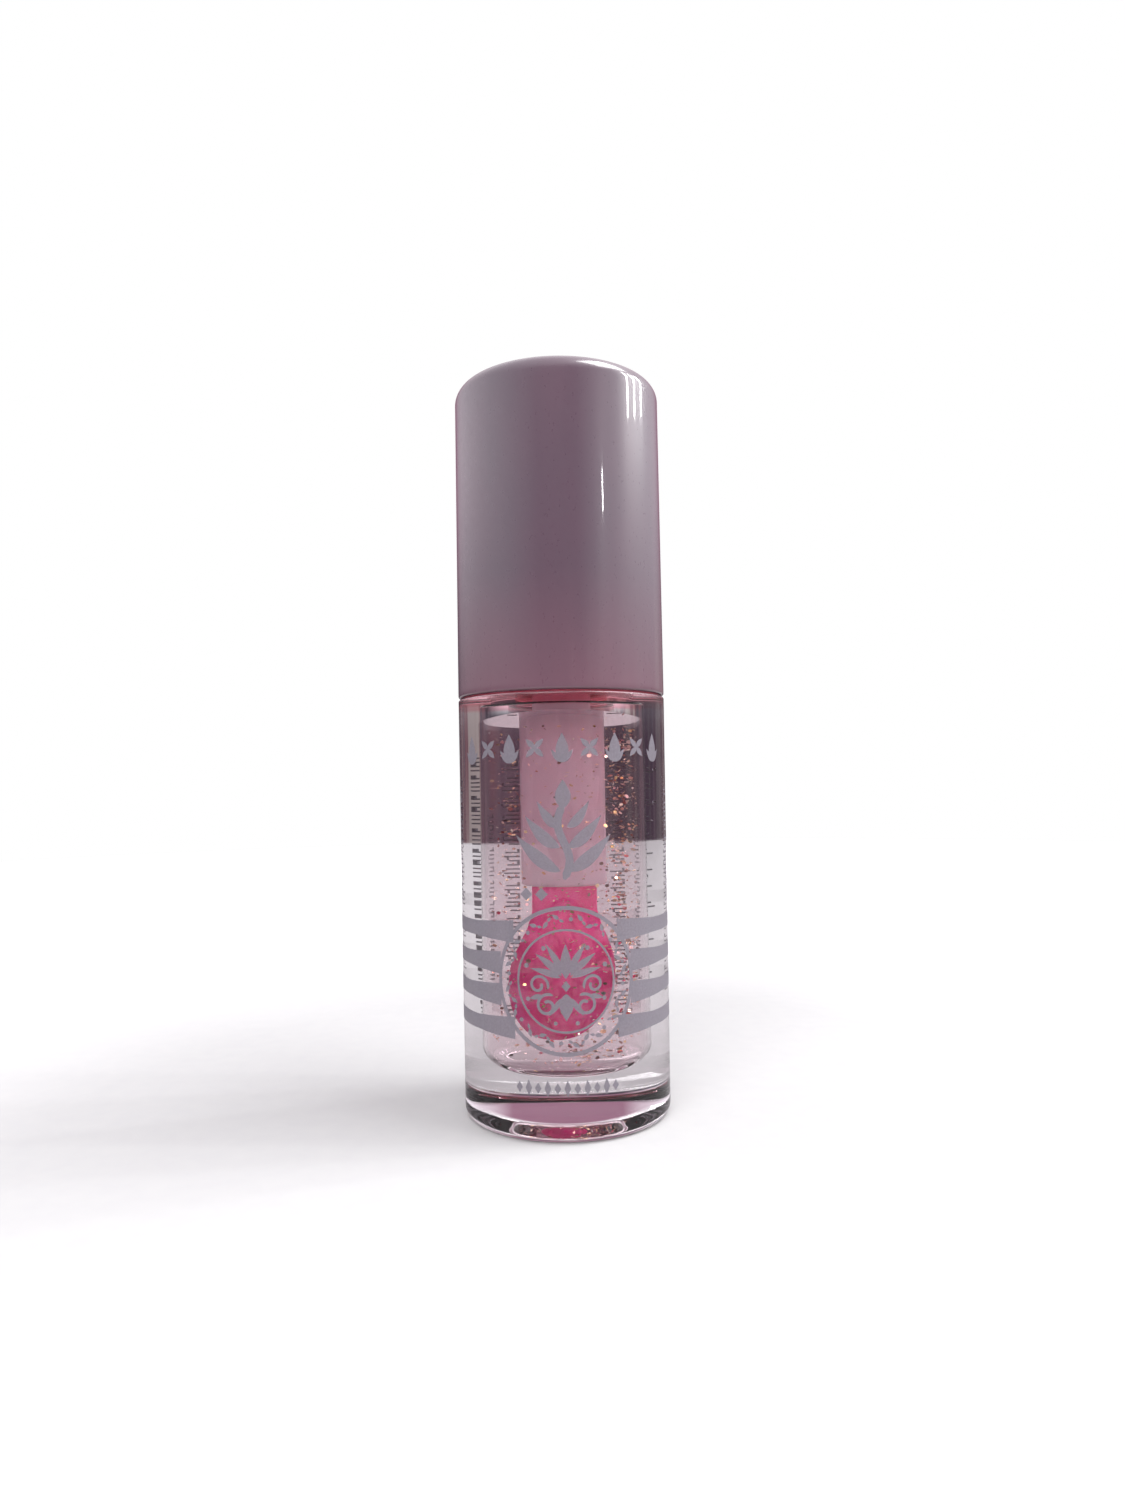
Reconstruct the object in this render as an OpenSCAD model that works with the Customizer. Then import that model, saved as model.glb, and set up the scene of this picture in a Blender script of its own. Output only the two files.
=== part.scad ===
// Lip gloss tube: a thick clear bottle, a screw cap and a jumbo flocked applicator.
// Sizes are in millimetres. +Z is up. The origin is the centre of the base.
// The cap screws on a right-hand thread and carries the applicator with it.

/* [Bottle] */
// Outside diameter of the bottle, and of the cap at its open end
body_d = 20; // [19.6:0.2:24]
// Height of the bottle's straight body, up to the cap
body_h = 40; // [39:0.5:50]
// Rounding of the bottle's bottom edge
base_fillet = 1; // [0.4:0.1:1.4]
// Rounding of the shoulder edge just under the cap
shoulder_fillet = 0.2; // [0.1:0.05:0.6]
// Diameter of the chamber that holds the gloss
chamber_d = 10.5; // [10:0.1:11.5]
// Thickness of the clear base under the chamber
floor_t = 4.8; // [3:0.1:6]
// Rounding where the chamber wall meets its floor
chamber_fillet = 1.8; // [0.5:0.1:2.5]
// Depth of the shallow hollow under the base
recess_depth = 0.8; // [0.2:0.1:1]
// Diameter of that hollow
recess_d = 14; // [8:0.5:15]

/* [Neck and thread] */
// Diameter of the hole through the neck
neck_bore_d = 9; // [8.8:0.1:9.2]
// Wall of the neck at the thread's root
neck_wall = 2; // [1.8:0.05:2.1]
// Height of the neck above the shoulder
neck_h = 10.4; // [9.5:0.1:11]
// Rise of the thread in one turn
lead = 3; // [2.8:0.1:3.2]
// How far the thread stands out from its wall
thread_depth = 0.65; // [0.4:0.05:0.7]
// Turns of thread on the neck, and in the cap
thread_turns = 1.5; // [1:0.25:1.5]

/* [Wiper] */
// Inside diameter of the wiper's sleeve, wider than the applicator
wiper_bore_d = 7.6; // [7.5:0.05:7.9]
// Diameter of the hole in the wiper's soft lip, just wider than the stem
wiper_lip_d = 5.9; // [5.85:0.05:6.2]
// Length of the sleeve that goes down the neck
wiper_h = 9; // [7:0.5:9.5]

/* [Gloss] */
// Height of the gloss's surface above the base
gloss_top = 38.4; // [30:0.2:38.4]
// Number of glitter flakes
flake_count = 64; // [10:2:80]
// Diameter of one flake, corner to corner
flake_d = 0.45; // [0.2:0.05:0.5]
// Thickness of one flake
flake_t = 0.06; // [0.04:0.01:0.1]

/* [Cap] */
// Height of the cap
cap_h = 30; // [26:0.5:40]
// How much the cap's radius shrinks towards its top
cap_draft = 0.15; // [0:0.05:0.4]
// Rounding of the cap's top edge
cap_fillet = 1.5; // [0.5:0.1:2]
// Seam left between cap and bottle
seam = 0.15; // [0.1:0.05:0.4]
// Thickness of the cap's top
cap_top_t = 1.7; // [1.2:0.1:2.5]
// Number of ribs inside the cap
rib_count = 6; // [3:1:8]

/* [Applicator] */
// Diameter of the stem
stem_d = 5.7; // [5.2:0.1:5.7]
// Diameter of the flocked head at its widest
head_d = 7.1; // [6.6:0.1:7.2]
// Height of the head's lowest point above the base
head_low = 7.65; // [7:0.05:9]
// Length of the flocked applicator, from its tip to the stem
head_len = 14.55; // [12:0.25:17]
// Length of the slim part just under the stem
throat_len = 2.4; // [1.5:0.1:3.5]
// Depth of the flocking
flock_t = 0.5; // [0.3:0.05:0.7]

/* [Hidden] */
$fn = 96;
// Small gap between pieces that are pressed together
gap = 0.03;

body_r = body_d / 2;
chamber_r = chamber_d / 2;
bore_r = neck_bore_d / 2;
neck_r = bore_r + neck_wall;
neck_top = body_h + neck_h;
crest_r = neck_r + thread_depth;

// The wiper's flange lies on the neck, and the sealing ring lies on the flange.
flange_t = 0.6;
flange_r = neck_r - 0.5;
flange_top = neck_top + flange_t;
seal_t = 0.9;
seal_top = flange_top + seal_t;

// The screw insert sits in the shell, and its roof carries the stem's flange.
// Its foot lies in a step of the shell, just clear of the bottle's shoulder.
insert_bore_r = crest_r + 0.3;
insert_r = insert_bore_r + 1;
insert_roof_t = 1.5;
insert_top = seal_top + insert_roof_t;
insert_low = body_h + 0.06;
foot_r = body_r - 0.5;
foot_t = 0.5;
key_h = 0.25;
key_w = 0.6;
key_count = 8;

cap_low = body_h + seam;
cap_top = body_h + cap_h;
shell_bore_r = insert_r + gap;
shell_upper_r = shell_bore_r - 0.35;
stem_flange_r = 4;
stem_flange_t = 1;
stem_flange_top = insert_top + stem_flange_t;
post_r = 3.4;
post_hole_r = 2.3;
rib_t = 0.9;

stem_r = stem_d / 2;
stem_low = head_low + head_len;
stem_hole_r = 1.3;
socket_r = 1.6;
socket_depth = 5;
head_r = head_d / 2;
throat_r = stem_r - 0.4;
core_r = head_r - flock_t;
core_throat_r = throat_r - flock_t;
cavity_r = head_r + 0.12;

// A rectangle in the half-plane that is turned about Z: radius across, height up.
module band(r0, r1, z0, z1) {
    translate([r0, z0]) square([r1 - r0, z1 - z0]);
}

// A filled outline with a rounded lower corner and a rounded upper corner. A draft narrows its top.
module barrel(r, z0, z1, f_low, f_high, draft = 0) {
    r_high = r - draft;
    polygon([[0, z0 + f_low], [r, z0 + f_low], [r_high, z1 - f_high], [0, z1 - f_high]]);
    band(0, r - f_low, z0, z0 + f_low);
    band(0, r_high - f_high, z1 - f_high, z1);
    translate([r - f_low, z0 + f_low]) intersection() {
        circle(f_low);
        band(0, 2 * f_low, -2 * f_low, 0);
    }
    translate([r_high - f_high, z1 - f_high]) intersection() {
        circle(f_high);
        band(0, 2 * f_high, 0, 2 * f_high);
    }
}

// A thread ridge that climbs a helix. It grows from r_foot, inside the wall, to r_tip.
// Each end fades into the wall over a fifth of a turn.
module ridge(r_wall, depth, z_start) {
    per_turn = 30;
    steps = round(thread_turns * per_turn);
    side = depth > 0 ? 1 : -1;
    foot = r_wall - 0.25 * side;
    fade = function(i) min(1, min(i, steps - i) / 6);
    tip = function(i) r_wall - 0.1 * side + (depth + 0.1 * side) * fade(i);
    at = function(i, r, dz) let (a = 360 * i / per_turn)
        [r * cos(a), r * sin(a), z_start + lead * i / per_turn + dz * side];
    points = [for (i = [0:steps]) each [
        at(i, foot, -0.6), at(i, tip(i), -0.3), at(i, tip(i), 0.3), at(i, foot, 0.6)]];
    walls = [for (i = [0:steps - 1]) for (k = [0:3])
        let (a = 4 * i + k, b = 4 * i + (k + 1) % 4)
        each [[a, b + 4, a + 4], [a, b, b + 4]]];
    last = 4 * steps;
    polyhedron(points, concat(walls, [[3, 2, 1, 0], [last, last + 1, last + 2, last + 3]]));
}

// Thick clear body with the gloss chamber and the threaded neck.
module bottle() {
    color([0.93, 0.90, 0.91, 0.35]) union() {
        rotate_extrude() difference() {
            union() {
                barrel(body_r, 0, body_h, base_fillet, shoulder_fillet);
                barrel(neck_r, body_h - 1, neck_top, 0.1, 0.3);
            }
            barrel(chamber_r, floor_t, body_h - 0.7, chamber_fillet, 0.25);
            band(0, bore_r, body_h - 3, neck_top + 1);
            barrel(recess_d / 2, -1, recess_depth, 0.1, recess_depth / 2);
        }
        ridge(neck_r, thread_depth, body_h + 3);
    }
}

// Soft plug in the neck: flange, sleeve and a thin lip that wipes the stem.
module wiper() {
    sleeve_r = wiper_bore_d / 2;
    low = neck_top - wiper_h;
    color([0.95, 0.93, 0.93, 0.8]) rotate_extrude() {
        difference() {
            barrel(flange_r, neck_top, flange_top, 0.1, 0.2);
            band(0, sleeve_r, neck_top - 1, flange_top + 1);
        }
        band(sleeve_r, bore_r - gap, low, neck_top + 0.01);
        polygon([[sleeve_r + 0.1, low + 1.6], [sleeve_r + 0.1, low + 2.3], [wiper_lip_d / 2, low + 0.7],
                 [wiper_lip_d / 2, low + 0.35]]);
    }
}

// Gloss that fills the chamber round the applicator.
module gloss() {
    color([0.93, 0.72, 0.76, 0.7]) rotate_extrude() difference() {
        barrel(chamber_r - gap, floor_t, gloss_top, chamber_fillet, 0.2);
        barrel(cavity_r, head_low - 0.15, gloss_top + 2, cavity_r - 1, 0.1);
    }
}

// Metallic flakes hanging in the gloss, round the applicator and below it.
module glitter() {
    r_in = cavity_r + flake_d / 2 + 0.02;
    r_out = chamber_r - gap - flake_d / 2 - 0.02;
    z_in = floor_t + chamber_fillet;
    z_out = gloss_top - flake_d;
    color([0.85, 0.62, 0.45]) for (i = [1:flake_count]) {
        r = r_in + (r_out - r_in) * ((i * 0.7549) % 1);
        z = z_in + (z_out - z_in) * ((i * 0.5698) % 1);
        rotate([0, 0, i * 137.5]) translate([r, 0, z]) rotate([i * 71, i * 43, 0])
            cylinder(h = flake_t, d = flake_d, center = true, $fn = 6);
    }
}

// Flat liner that the cap squeezes onto the wiper's flange.
module sealing_ring() {
    color([0.96, 0.95, 0.93]) rotate_extrude() difference() {
        barrel(flange_r + 0.3, flange_top + 0.02, seal_top, 0.15, 0.15);
        band(0, wiper_bore_d / 2 - 0.2, flange_top - 1, seal_top + 1);
    }
}

// Glossy outer shell, with a post and ribs that hold the stem down.
module cap_shell() {
    roof = cap_top - cap_top_t;
    color([0.52, 0.38, 0.44]) difference() {
        union() {
            rotate_extrude() difference() {
                barrel(body_r, cap_low, cap_top, 0.25, cap_fillet, cap_draft);
                band(0, shell_bore_r, cap_low - 1, insert_top);
                band(0, foot_r + gap, cap_low - 1, insert_low + foot_t + gap);
                barrel(shell_upper_r, insert_top - 1, roof, 0.1, 0.8);
            }
            rotate_extrude() band(post_hole_r, post_r, stem_flange_top, roof + 0.2);
            for (i = [0:rib_count - 1]) rotate([0, 0, (i + 0.5) * 360 / rib_count])
                translate([post_r - 0.3, -rib_t / 2, stem_flange_top])
                cube([shell_upper_r - post_r + 0.5, rib_t, roof - stem_flange_top + 0.2]);
        }
        for (i = [0:key_count - 1]) rotate([0, 0, (i + 0.5) * 360 / key_count])
            translate([shell_bore_r - 0.5, -key_w / 2 - gap, cap_low - 1])
            cube([0.5 + key_h + gap, key_w + 2 * gap, insert_top - cap_low + 0.9]);
    }
}

// Screw insert inside the shell, with the matching thread and keys that stop it turning.
module inner_cap() {
    color([0.86, 0.80, 0.82]) union() {
        rotate_extrude() difference() {
            union() {
                barrel(insert_r, insert_low, insert_top, 0.2, 0.1);
                barrel(foot_r, insert_low, insert_low + foot_t, 0.05, 0.1);
            }
            band(0, insert_bore_r, insert_low - 1, seal_top);
            band(0, stem_r + gap, seal_top - 1, insert_top + 1);
        }
        ridge(insert_bore_r, -thread_depth, body_h + 3 + lead / 2);
        for (i = [0:key_count - 1]) rotate([0, 0, (i + 0.5) * 360 / key_count])
            translate([insert_r - 0.3, -key_w / 2, insert_low + 1])
            cube([0.3 + key_h, key_w, insert_top - insert_low - 1.2]);
    }
}

// Hollow rod with a flange on top and a socket for the applicator below.
module stem() {
    color([0.93, 0.68, 0.75]) rotate_extrude() difference() {
        union() {
            barrel(stem_r, stem_low, insert_top + 0.2, 0.3, 0.1);
            barrel(stem_flange_r, insert_top, stem_flange_top, 0.1, 0.2);
        }
        band(0, socket_r, stem_low - 1, stem_low + socket_depth);
        band(0, stem_hole_r, stem_low + socket_depth + 2, stem_flange_top + 1);
    }
}

// Outline shared by the applicator's core and its flocking, less a margin all round.
module head_outline(margin) {
    r = head_r - margin;
    barrel(r, head_low + margin, stem_low - throat_len, r - 0.8, 1.4);
    band(0, throat_r - margin, stem_low - throat_len - 1, stem_low);
}

// Soft moulded core, with a peg that plugs into the stem.
module applicator_core() {
    color([0.90, 0.35, 0.55]) rotate_extrude() {
        head_outline(flock_t);
        barrel(socket_r - gap, stem_low - 0.5, stem_low + socket_depth - 0.2, 0.1, 0.4);
    }
}

// Velvet flocking over the whole core.
module applicator_flock() {
    color([0.90, 0.25, 0.48]) rotate_extrude() difference() {
        head_outline(0);
        head_outline(flock_t);
        band(0, core_throat_r, stem_low - 1, stem_low + 1);
    }
}

bottle();
wiper();
gloss();
glitter();
sealing_ring();
cap_shell();
inner_cap();
stem();
applicator_core();
applicator_flock();
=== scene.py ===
"""Looks of a lip gloss tube: clear bottle, pink gloss with flakes, mauve screw cap and flocked applicator.

Outlines and print are worked out in millimetres and stored in metres, in the frame's own place.
"""

import logging
import math
import random
from dataclasses import dataclass
from enum import Enum

import bmesh
import bpy
from mathutils import Matrix, Vector, noise


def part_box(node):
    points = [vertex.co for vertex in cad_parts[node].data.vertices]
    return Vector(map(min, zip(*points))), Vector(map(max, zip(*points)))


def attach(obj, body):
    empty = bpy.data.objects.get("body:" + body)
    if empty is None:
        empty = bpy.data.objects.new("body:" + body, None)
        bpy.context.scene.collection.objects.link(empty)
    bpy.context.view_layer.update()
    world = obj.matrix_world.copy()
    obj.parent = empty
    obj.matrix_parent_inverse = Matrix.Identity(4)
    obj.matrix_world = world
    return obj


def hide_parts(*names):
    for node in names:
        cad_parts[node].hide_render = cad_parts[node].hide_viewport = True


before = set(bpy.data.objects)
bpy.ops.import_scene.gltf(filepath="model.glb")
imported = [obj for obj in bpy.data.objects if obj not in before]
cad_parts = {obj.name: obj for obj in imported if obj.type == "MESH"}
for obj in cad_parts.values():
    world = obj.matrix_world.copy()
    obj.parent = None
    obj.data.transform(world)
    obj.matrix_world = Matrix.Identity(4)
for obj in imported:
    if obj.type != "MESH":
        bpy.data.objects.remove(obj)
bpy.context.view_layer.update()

LOG = logging.getLogger("lip_gloss_tube")
MM = 0.001
TURN = 2 * math.pi
SEGMENTS = 160

Point = tuple[float, float]
Colour = tuple[float, float, float]


class Body(Enum):
    """The rigid bodies of the frame that pieces ride on."""

    BOTTLE = "bottle"
    SEAL = "seal"
    CAP = "cap"


class Slot(Enum):
    """The record's material slots."""

    CLEAR = "clear_bottle"
    WIPER = "wiper_plastic"
    GLOSS = "gloss_fill"
    FLAKE = "glitter_flake"
    SEAL = "seal_foam"
    CAP = "cap_plastic"
    INSERT = "insert_plastic"
    STEM = "stem_plastic"
    CORE = "core_rubber"
    FLOCK = "flocking"
    INK = "print_ink"


def srgb(red: int, green: int, blue: int) -> Colour:
    """Turns a screen colour into linear light.

    Args:
        red: Red, 0 to 255.
        green: Green, 0 to 255.
        blue: Blue, 0 to 255.

    Returns:
        The three channels as linear values from 0 to 1.
    """

    def channel(value: int) -> float:
        """Undoes the screen's gamma for one channel."""
        part = value / 255
        return part / 12.92 if part <= 0.04045 else ((part + 0.055) / 1.055) ** 2.4

    return channel(red), channel(green), channel(blue)


# --------------------------------------------------------------------------------------------------
# Shader building


class Signal:
    """A shader socket that can be added to and multiplied."""

    def __init__(self, graph: "Graph", socket: bpy.types.NodeSocket) -> None:
        """Keeps the socket and the graph it belongs to."""
        self.graph = graph
        self.socket = socket

    def _math(self, operation: str, other: "Signal | float", clamp: bool = False) -> "Signal":
        """Adds one Math node.

        Args:
            operation: The Math node's operation.
            other: Second value or signal.
            clamp: Whether the result is held between 0 and 1.

        Returns:
            The node's result.
        """
        settings = {"operation": operation, "use_clamp": clamp}
        return self.graph.node("ShaderNodeMath", settings, {0: self, 1: other})

    def __add__(self, other: "Signal | float") -> "Signal":
        """self + other."""
        return self._math("ADD", other)

    def __mul__(self, other: "Signal | float") -> "Signal":
        """self * other."""
        return self._math("MULTIPLY", other)

    def clamped(self) -> "Signal":
        """The value held between 0 and 1."""
        return self._math("ADD", 0.0, clamp=True)


class Graph:
    """Builds a node tree, one call per node."""

    def __init__(self, tree: bpy.types.NodeTree) -> None:
        """Starts from an empty tree."""
        self.tree = tree
        self.tree.nodes.clear()

    def raw(self, kind: str, settings: dict | None = None, inputs: dict | None = None) -> bpy.types.Node:
        """Adds a node.

        Args:
            kind: The node's type name.
            settings: Properties, set before the sockets. A ramp's stops go under "stops".
            inputs: Socket name or number to a value or a Signal.

        Returns:
            The node.
        """
        node = self.tree.nodes.new(kind)
        for key, value in (settings or {}).items():
            if key == "stops":
                self._fill_ramp(node.color_ramp, value)
            else:
                setattr(node, key, value)
        for key, value in (inputs or {}).items():
            if isinstance(value, Signal):
                self.tree.links.new(value.socket, node.inputs[key])
            else:
                node.inputs[key].default_value = value
        return node

    def node(self, kind: str, settings: dict | None = None, inputs: dict | None = None,
             output: str | int = 0) -> Signal:
        """Adds a node and gives one of its outputs.

        Args:
            kind: The node's type name.
            settings: As for raw.
            inputs: As for raw.
            output: Name or number of the output.

        Returns:
            The output as a Signal.
        """
        return Signal(self, self.raw(kind, settings, inputs).outputs[output])

    @staticmethod
    def _fill_ramp(ramp: bpy.types.ColorRamp, stops: list[tuple[float, Colour]]) -> None:
        """Sets a ramp's stops from pairs of place and colour."""
        while len(ramp.elements) < len(stops):
            ramp.elements.new(1.0)
        for element, (place, colour) in zip(ramp.elements, stops):
            element.position = place
            element.color = (*colour, 1.0)

    def place_mm(self, stretch: tuple[float, float, float] = (1.0, 1.0, 1.0)) -> Signal:
        """Object coordinates in millimetres.

        Args:
            stretch: Factor on each axis, under 1 to draw a pattern out along it.

        Returns:
            The coordinates as a vector.
        """
        coords = self.node("ShaderNodeTexCoord", output="Object")
        scale = tuple(1000 * part for part in stretch)
        return self.node("ShaderNodeVectorMath", {"operation": "MULTIPLY"}, {0: coords, 1: scale})

    def height_mm(self) -> Signal:
        """Height above the floor in millimetres."""
        return self.node("ShaderNodeSeparateXYZ", None, {0: self.place_mm()}, "Z")

    def noise(self, place: Signal, scale: float, detail: float = 2.0, roughness: float = 0.5) -> Signal:
        """A noise value round 0.5.

        Args:
            place: Coordinates in millimetres.
            scale: Features per millimetre.
            detail: Octaves.
            roughness: Weight of the finer octaves.

        Returns:
            The noise's factor.
        """
        inputs = {"Vector": place, "Scale": scale, "Detail": detail, "Roughness": roughness}
        return self.node("ShaderNodeTexNoise", None, inputs, "Fac")

    def ramp(self, value: Signal, stops: list[tuple[float, Colour]]) -> Signal:
        """Colours a value through a ramp with the given stops."""
        return self.node("ShaderNodeValToRGB", {"stops": stops}, {"Fac": value}, "Color")

    def spread(self, value: Signal, low: float, high: float, start: float = 0.3, end: float = 0.7) -> Signal:
        """Spreads a value between two ends.

        Args:
            value: The value to spread.
            low: Result at start.
            high: Result at end.
            start: Value that gives low.
            end: Value that gives high.

        Returns:
            The spread value, clamped to its ends.
        """
        inputs = {"Value": value, "From Min": start, "From Max": end, "To Min": low, "To Max": high}
        return self.node("ShaderNodeMapRange", {"clamp": True}, inputs, "Result")

    def rise(self, value: Signal, start: float, end: float) -> Signal:
        """Goes from 0 at start to 1 at end, and stays there."""
        return self.spread(value, 0.0, 1.0, start, end)

    def mix(self, share: Signal, first: Signal, second: Signal | Colour) -> Signal:
        """Mixes two colours.

        Args:
            share: Share of the second colour.
            first: The first colour.
            second: The second colour.

        Returns:
            The mixed colour.
        """
        other = second if isinstance(second, Signal) else (*second, 1.0)
        return self.node("ShaderNodeMix", {"data_type": "RGBA"}, {0: share, 6: first, 7: other}, 2)

    def bump(self, height: Signal, depth_mm: float) -> Signal:
        """A bumped normal.

        Args:
            height: Height, 0 to 1.
            depth_mm: Depth that a height of 1 stands for.

        Returns:
            The normal.
        """
        inputs = {"Strength": 1.0, "Distance": depth_mm * MM, "Height": height}
        return self.node("ShaderNodeBump", None, inputs, "Normal")

    def surface(self, constants: dict, varying: dict) -> bpy.types.Node:
        """Adds a Principled shader and an output.

        Args:
            constants: Values set on the shader's own sockets.
            varying: Signals that change over the surface.

        Returns:
            The output node.
        """
        shader = self.node("ShaderNodeBsdfPrincipled", None, constants | varying, "BSDF")
        return self.raw("ShaderNodeOutputMaterial", None, {"Surface": shader})


class Finish:
    """A surface finish that makes its material once."""

    label: str
    slot: Slot

    def material(self) -> bpy.types.Material:
        """Gives the material, made on first use."""
        found = bpy.data.materials.get(self.label)
        if found is not None:
            return found
        made = bpy.data.materials.new(self.label)
        made.use_nodes = True
        self.build(Graph(made.node_tree))
        return made

    def build(self, graph: Graph) -> None:
        """Adds the finish's nodes. Each finish has its own."""
        raise NotImplementedError


@dataclass(frozen=True)
class ClearPlastic(Finish):
    """Polished, water-clear moulded plastic, faintly wavy where it cooled, frosted at the shoulder, where a
    painted reflection of the rose insert tints it.
    """

    label = "clear_moulded_plastic"
    slot = Slot.CLEAR
    index: float = 1.53
    wave_mm: float = 0.0016
    frost_from: float = 39.6
    frost_full: float = 39.95
    frost: float = 0.32
    # Painted reflection: between these heights the clear plastic takes the rose colour of the insert seen
    # through the shoulder.
    insert_reflection_from: float = 38.95
    insert_reflection_full: float = 39.25
    rose: Colour = srgb(250, 158, 172)
    neck_from: float = 40.05
    neck_full: float = 40.15

    def build(self, graph: Graph) -> None:
        """Clear body with long shallow waves and handling haze, frosted at the shoulder and tinted there with a
        painted reflection of the rose insert.
        """
        height = graph.height_mm()
        below = graph.spread(height, 1.0, 0.0, self.neck_from, self.neck_full)
        frosted = graph.spread(height, 0.0, self.frost, self.frost_from, self.frost_full) * below
        # Painted reflection: the rose insert seen through the shoulder, tinted into the clear plastic.
        painted_insert_reflection = graph.rise(height, self.insert_reflection_from, self.insert_reflection_full) * below
        waves = graph.noise(graph.place_mm((1.0, 1.0, 0.08)), 0.45, 1.0)
        haze = graph.noise(graph.place_mm(), 0.6, 4.0, 0.7)
        tone = graph.ramp(haze, [(0.3, srgb(250, 249, 250)), (0.8, srgb(246, 243, 245))])
        varying = {
            "Base Color": graph.mix(painted_insert_reflection, tone, self.rose),
            "Roughness": graph.spread(haze, 0.0, 0.03, 0.5, 0.9) + frosted,
            "Normal": graph.bump(waves, self.wave_mm),
        }
        graph.surface({"IOR": self.index, "Transmission Weight": 1.0}, varying)


@dataclass(frozen=True)
class GlossLiquid(Finish):
    """Thick, pale pink gloss, slightly pearly."""

    label = "pink_gloss"
    slot = Slot.GLOSS
    index: float = 1.46
    clear_share: float = 0.99
    depth: float = 32.0
    tint: Colour = srgb(246, 205, 216)

    def build(self, graph: Graph) -> None:
        """Pearly clouds on the surface and a pink that deepens through the fill."""
        clouds = graph.noise(graph.place_mm((1.0, 1.0, 0.6)), 0.3, 3.0, 0.6)
        tone = graph.ramp(clouds, [(0.3, srgb(255, 249, 250)), (0.75, srgb(250, 233, 238))])
        constants = {"IOR": self.index, "Transmission Weight": self.clear_share, "Roughness": 0.02}
        output = graph.surface(constants, {"Base Color": tone})
        inside = {"Color": (*self.tint, 1.0), "Density": self.depth}
        depth = graph.node("ShaderNodeVolumeAbsorption", None, inside, "Volume")
        graph.tree.links.new(depth.socket, output.inputs["Volume"])


@dataclass(frozen=True)
class CapPlastic(Finish):
    """Opaque mauve plastic with a high gloss."""

    label = "mauve_cap_plastic"
    slot = Slot.CAP
    # Painted light and shade: the low colours are the cap brightened from below, the high colours the cap
    # darkened higher up.
    lit_low_dull: Colour = srgb(98, 73, 84)
    lit_low_warm: Colour = srgb(104, 75, 86)
    shaded_high_dull: Colour = srgb(78, 66, 76)
    shaded_high_warm: Colour = srgb(84, 67, 78)
    painted_shade_from: float = 41.0
    painted_shade_to: float = 51.0
    wave_mm: float = 0.0022

    def build(self, graph: Graph) -> None:
        """A colour with faint clouds in it, brighter and pinker low down as painted light and greyer and darker
        upwards as painted shade, and long upright waves in the polish.
        """
        clouds = graph.noise(graph.place_mm((1.0, 1.0, 0.35)), 0.18, 3.0)
        waves = graph.noise(graph.place_mm((1.0, 1.0, 0.05)), 0.55, 1.5)
        rub = graph.noise(graph.place_mm((1.0, 1.0, 0.5)), 3.0, 4.0, 0.7)
        low = graph.ramp(clouds, [(0.3, self.lit_low_dull), (0.7, self.lit_low_warm)])
        high = graph.ramp(clouds, [(0.3, self.shaded_high_dull), (0.7, self.shaded_high_warm)])
        # Painted light and shade: the colour goes from brighter and pinker low down to greyer and darker higher
        # up.
        share = graph.rise(graph.height_mm(), self.painted_shade_from, self.painted_shade_to)
        constants = {"IOR": 1.5, "Coat Roughness": 0.04, "Coat IOR": 1.45}
        varying = {
            "Base Color": graph.mix(share, low, high),
            "Roughness": graph.spread(rub, 0.26, 0.36),
            "Coat Weight": graph.spread(rub, 0.9, 0.75),
            "Normal": graph.bump(waves, self.wave_mm),
        }
        graph.surface(constants, varying)


@dataclass(frozen=True)
class Grained(Finish):
    """An even material with a grain that shows in its colour, its polish and its relief."""

    label: str
    slot: Slot
    dark: Colour
    light: Colour
    polish: tuple[float, float]
    scale: float
    fineness: float = 0.5
    relief_mm: float = 0.0
    index: float = 1.5
    clear_share: float = 0.0

    def build(self, graph: Graph) -> None:
        """One noise that drives colour, roughness and, where there is any, relief."""
        grain = graph.noise(graph.place_mm(), self.scale, 3.0, self.fineness)
        varying = {
            "Base Color": graph.ramp(grain, [(0.3, self.dark), (0.7, self.light)]),
            "Roughness": graph.spread(grain, *self.polish),
        }
        if self.relief_mm:
            varying["Normal"] = graph.bump(grain, self.relief_mm)
        graph.surface({"IOR": self.index, "Transmission Weight": self.clear_share}, varying)


ROSE_PLASTIC = Grained("rose_insert_plastic", Slot.INSERT, srgb(214, 92, 116), srgb(222, 104, 128),
                       polish=(0.3, 0.42), scale=8.0, fineness=0.6, relief_mm=0.002, index=1.49)
CORE_RUBBER = Grained("pink_core_rubber", Slot.CORE, srgb(214, 60, 112), srgb(226, 82, 130),
                      polish=(0.55, 0.75), scale=6.0, relief_mm=0.01, index=1.45)
MILKY_PLASTIC = Grained("milky_wiper_plastic", Slot.WIPER, srgb(244, 232, 234), srgb(250, 243, 243),
                        polish=(0.28, 0.4), scale=0.8, clear_share=0.25)


@dataclass(frozen=True)
class StemPlastic(Finish):
    """Milky pink plastic of the rod, with a faint painted glow."""

    label = "milky_pink_stem"
    slot = Slot.STEM
    # Painted light: a faint emission that brightens the rod, which is no lamp.
    glow: Colour = srgb(255, 214, 230)
    glow_strength: float = 0.06

    def build(self, graph: Graph) -> None:
        """Slow changes of tone along the rod, under an even gloss, with a faint painted glow that brightens the
        rod inside the gloss.
        """
        clouds = graph.noise(graph.place_mm((1.0, 1.0, 0.3)), 0.35, 2.0)
        varying = {
            "Base Color": graph.ramp(clouds, [(0.25, srgb(226, 186, 201)), (0.75, srgb(234, 200, 213))]),
            "Roughness": graph.spread(clouds, 0.2, 0.32),
        }
        constants = {"IOR": 1.5, "Subsurface Weight": 0.25, "Subsurface Radius": (1.0, 0.5, 0.5),
                     "Subsurface Scale": 0.6 * MM,
                     "Emission Color": (*self.glow, 1.0), "Emission Strength": self.glow_strength}
        graph.surface(constants, varying)


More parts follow.
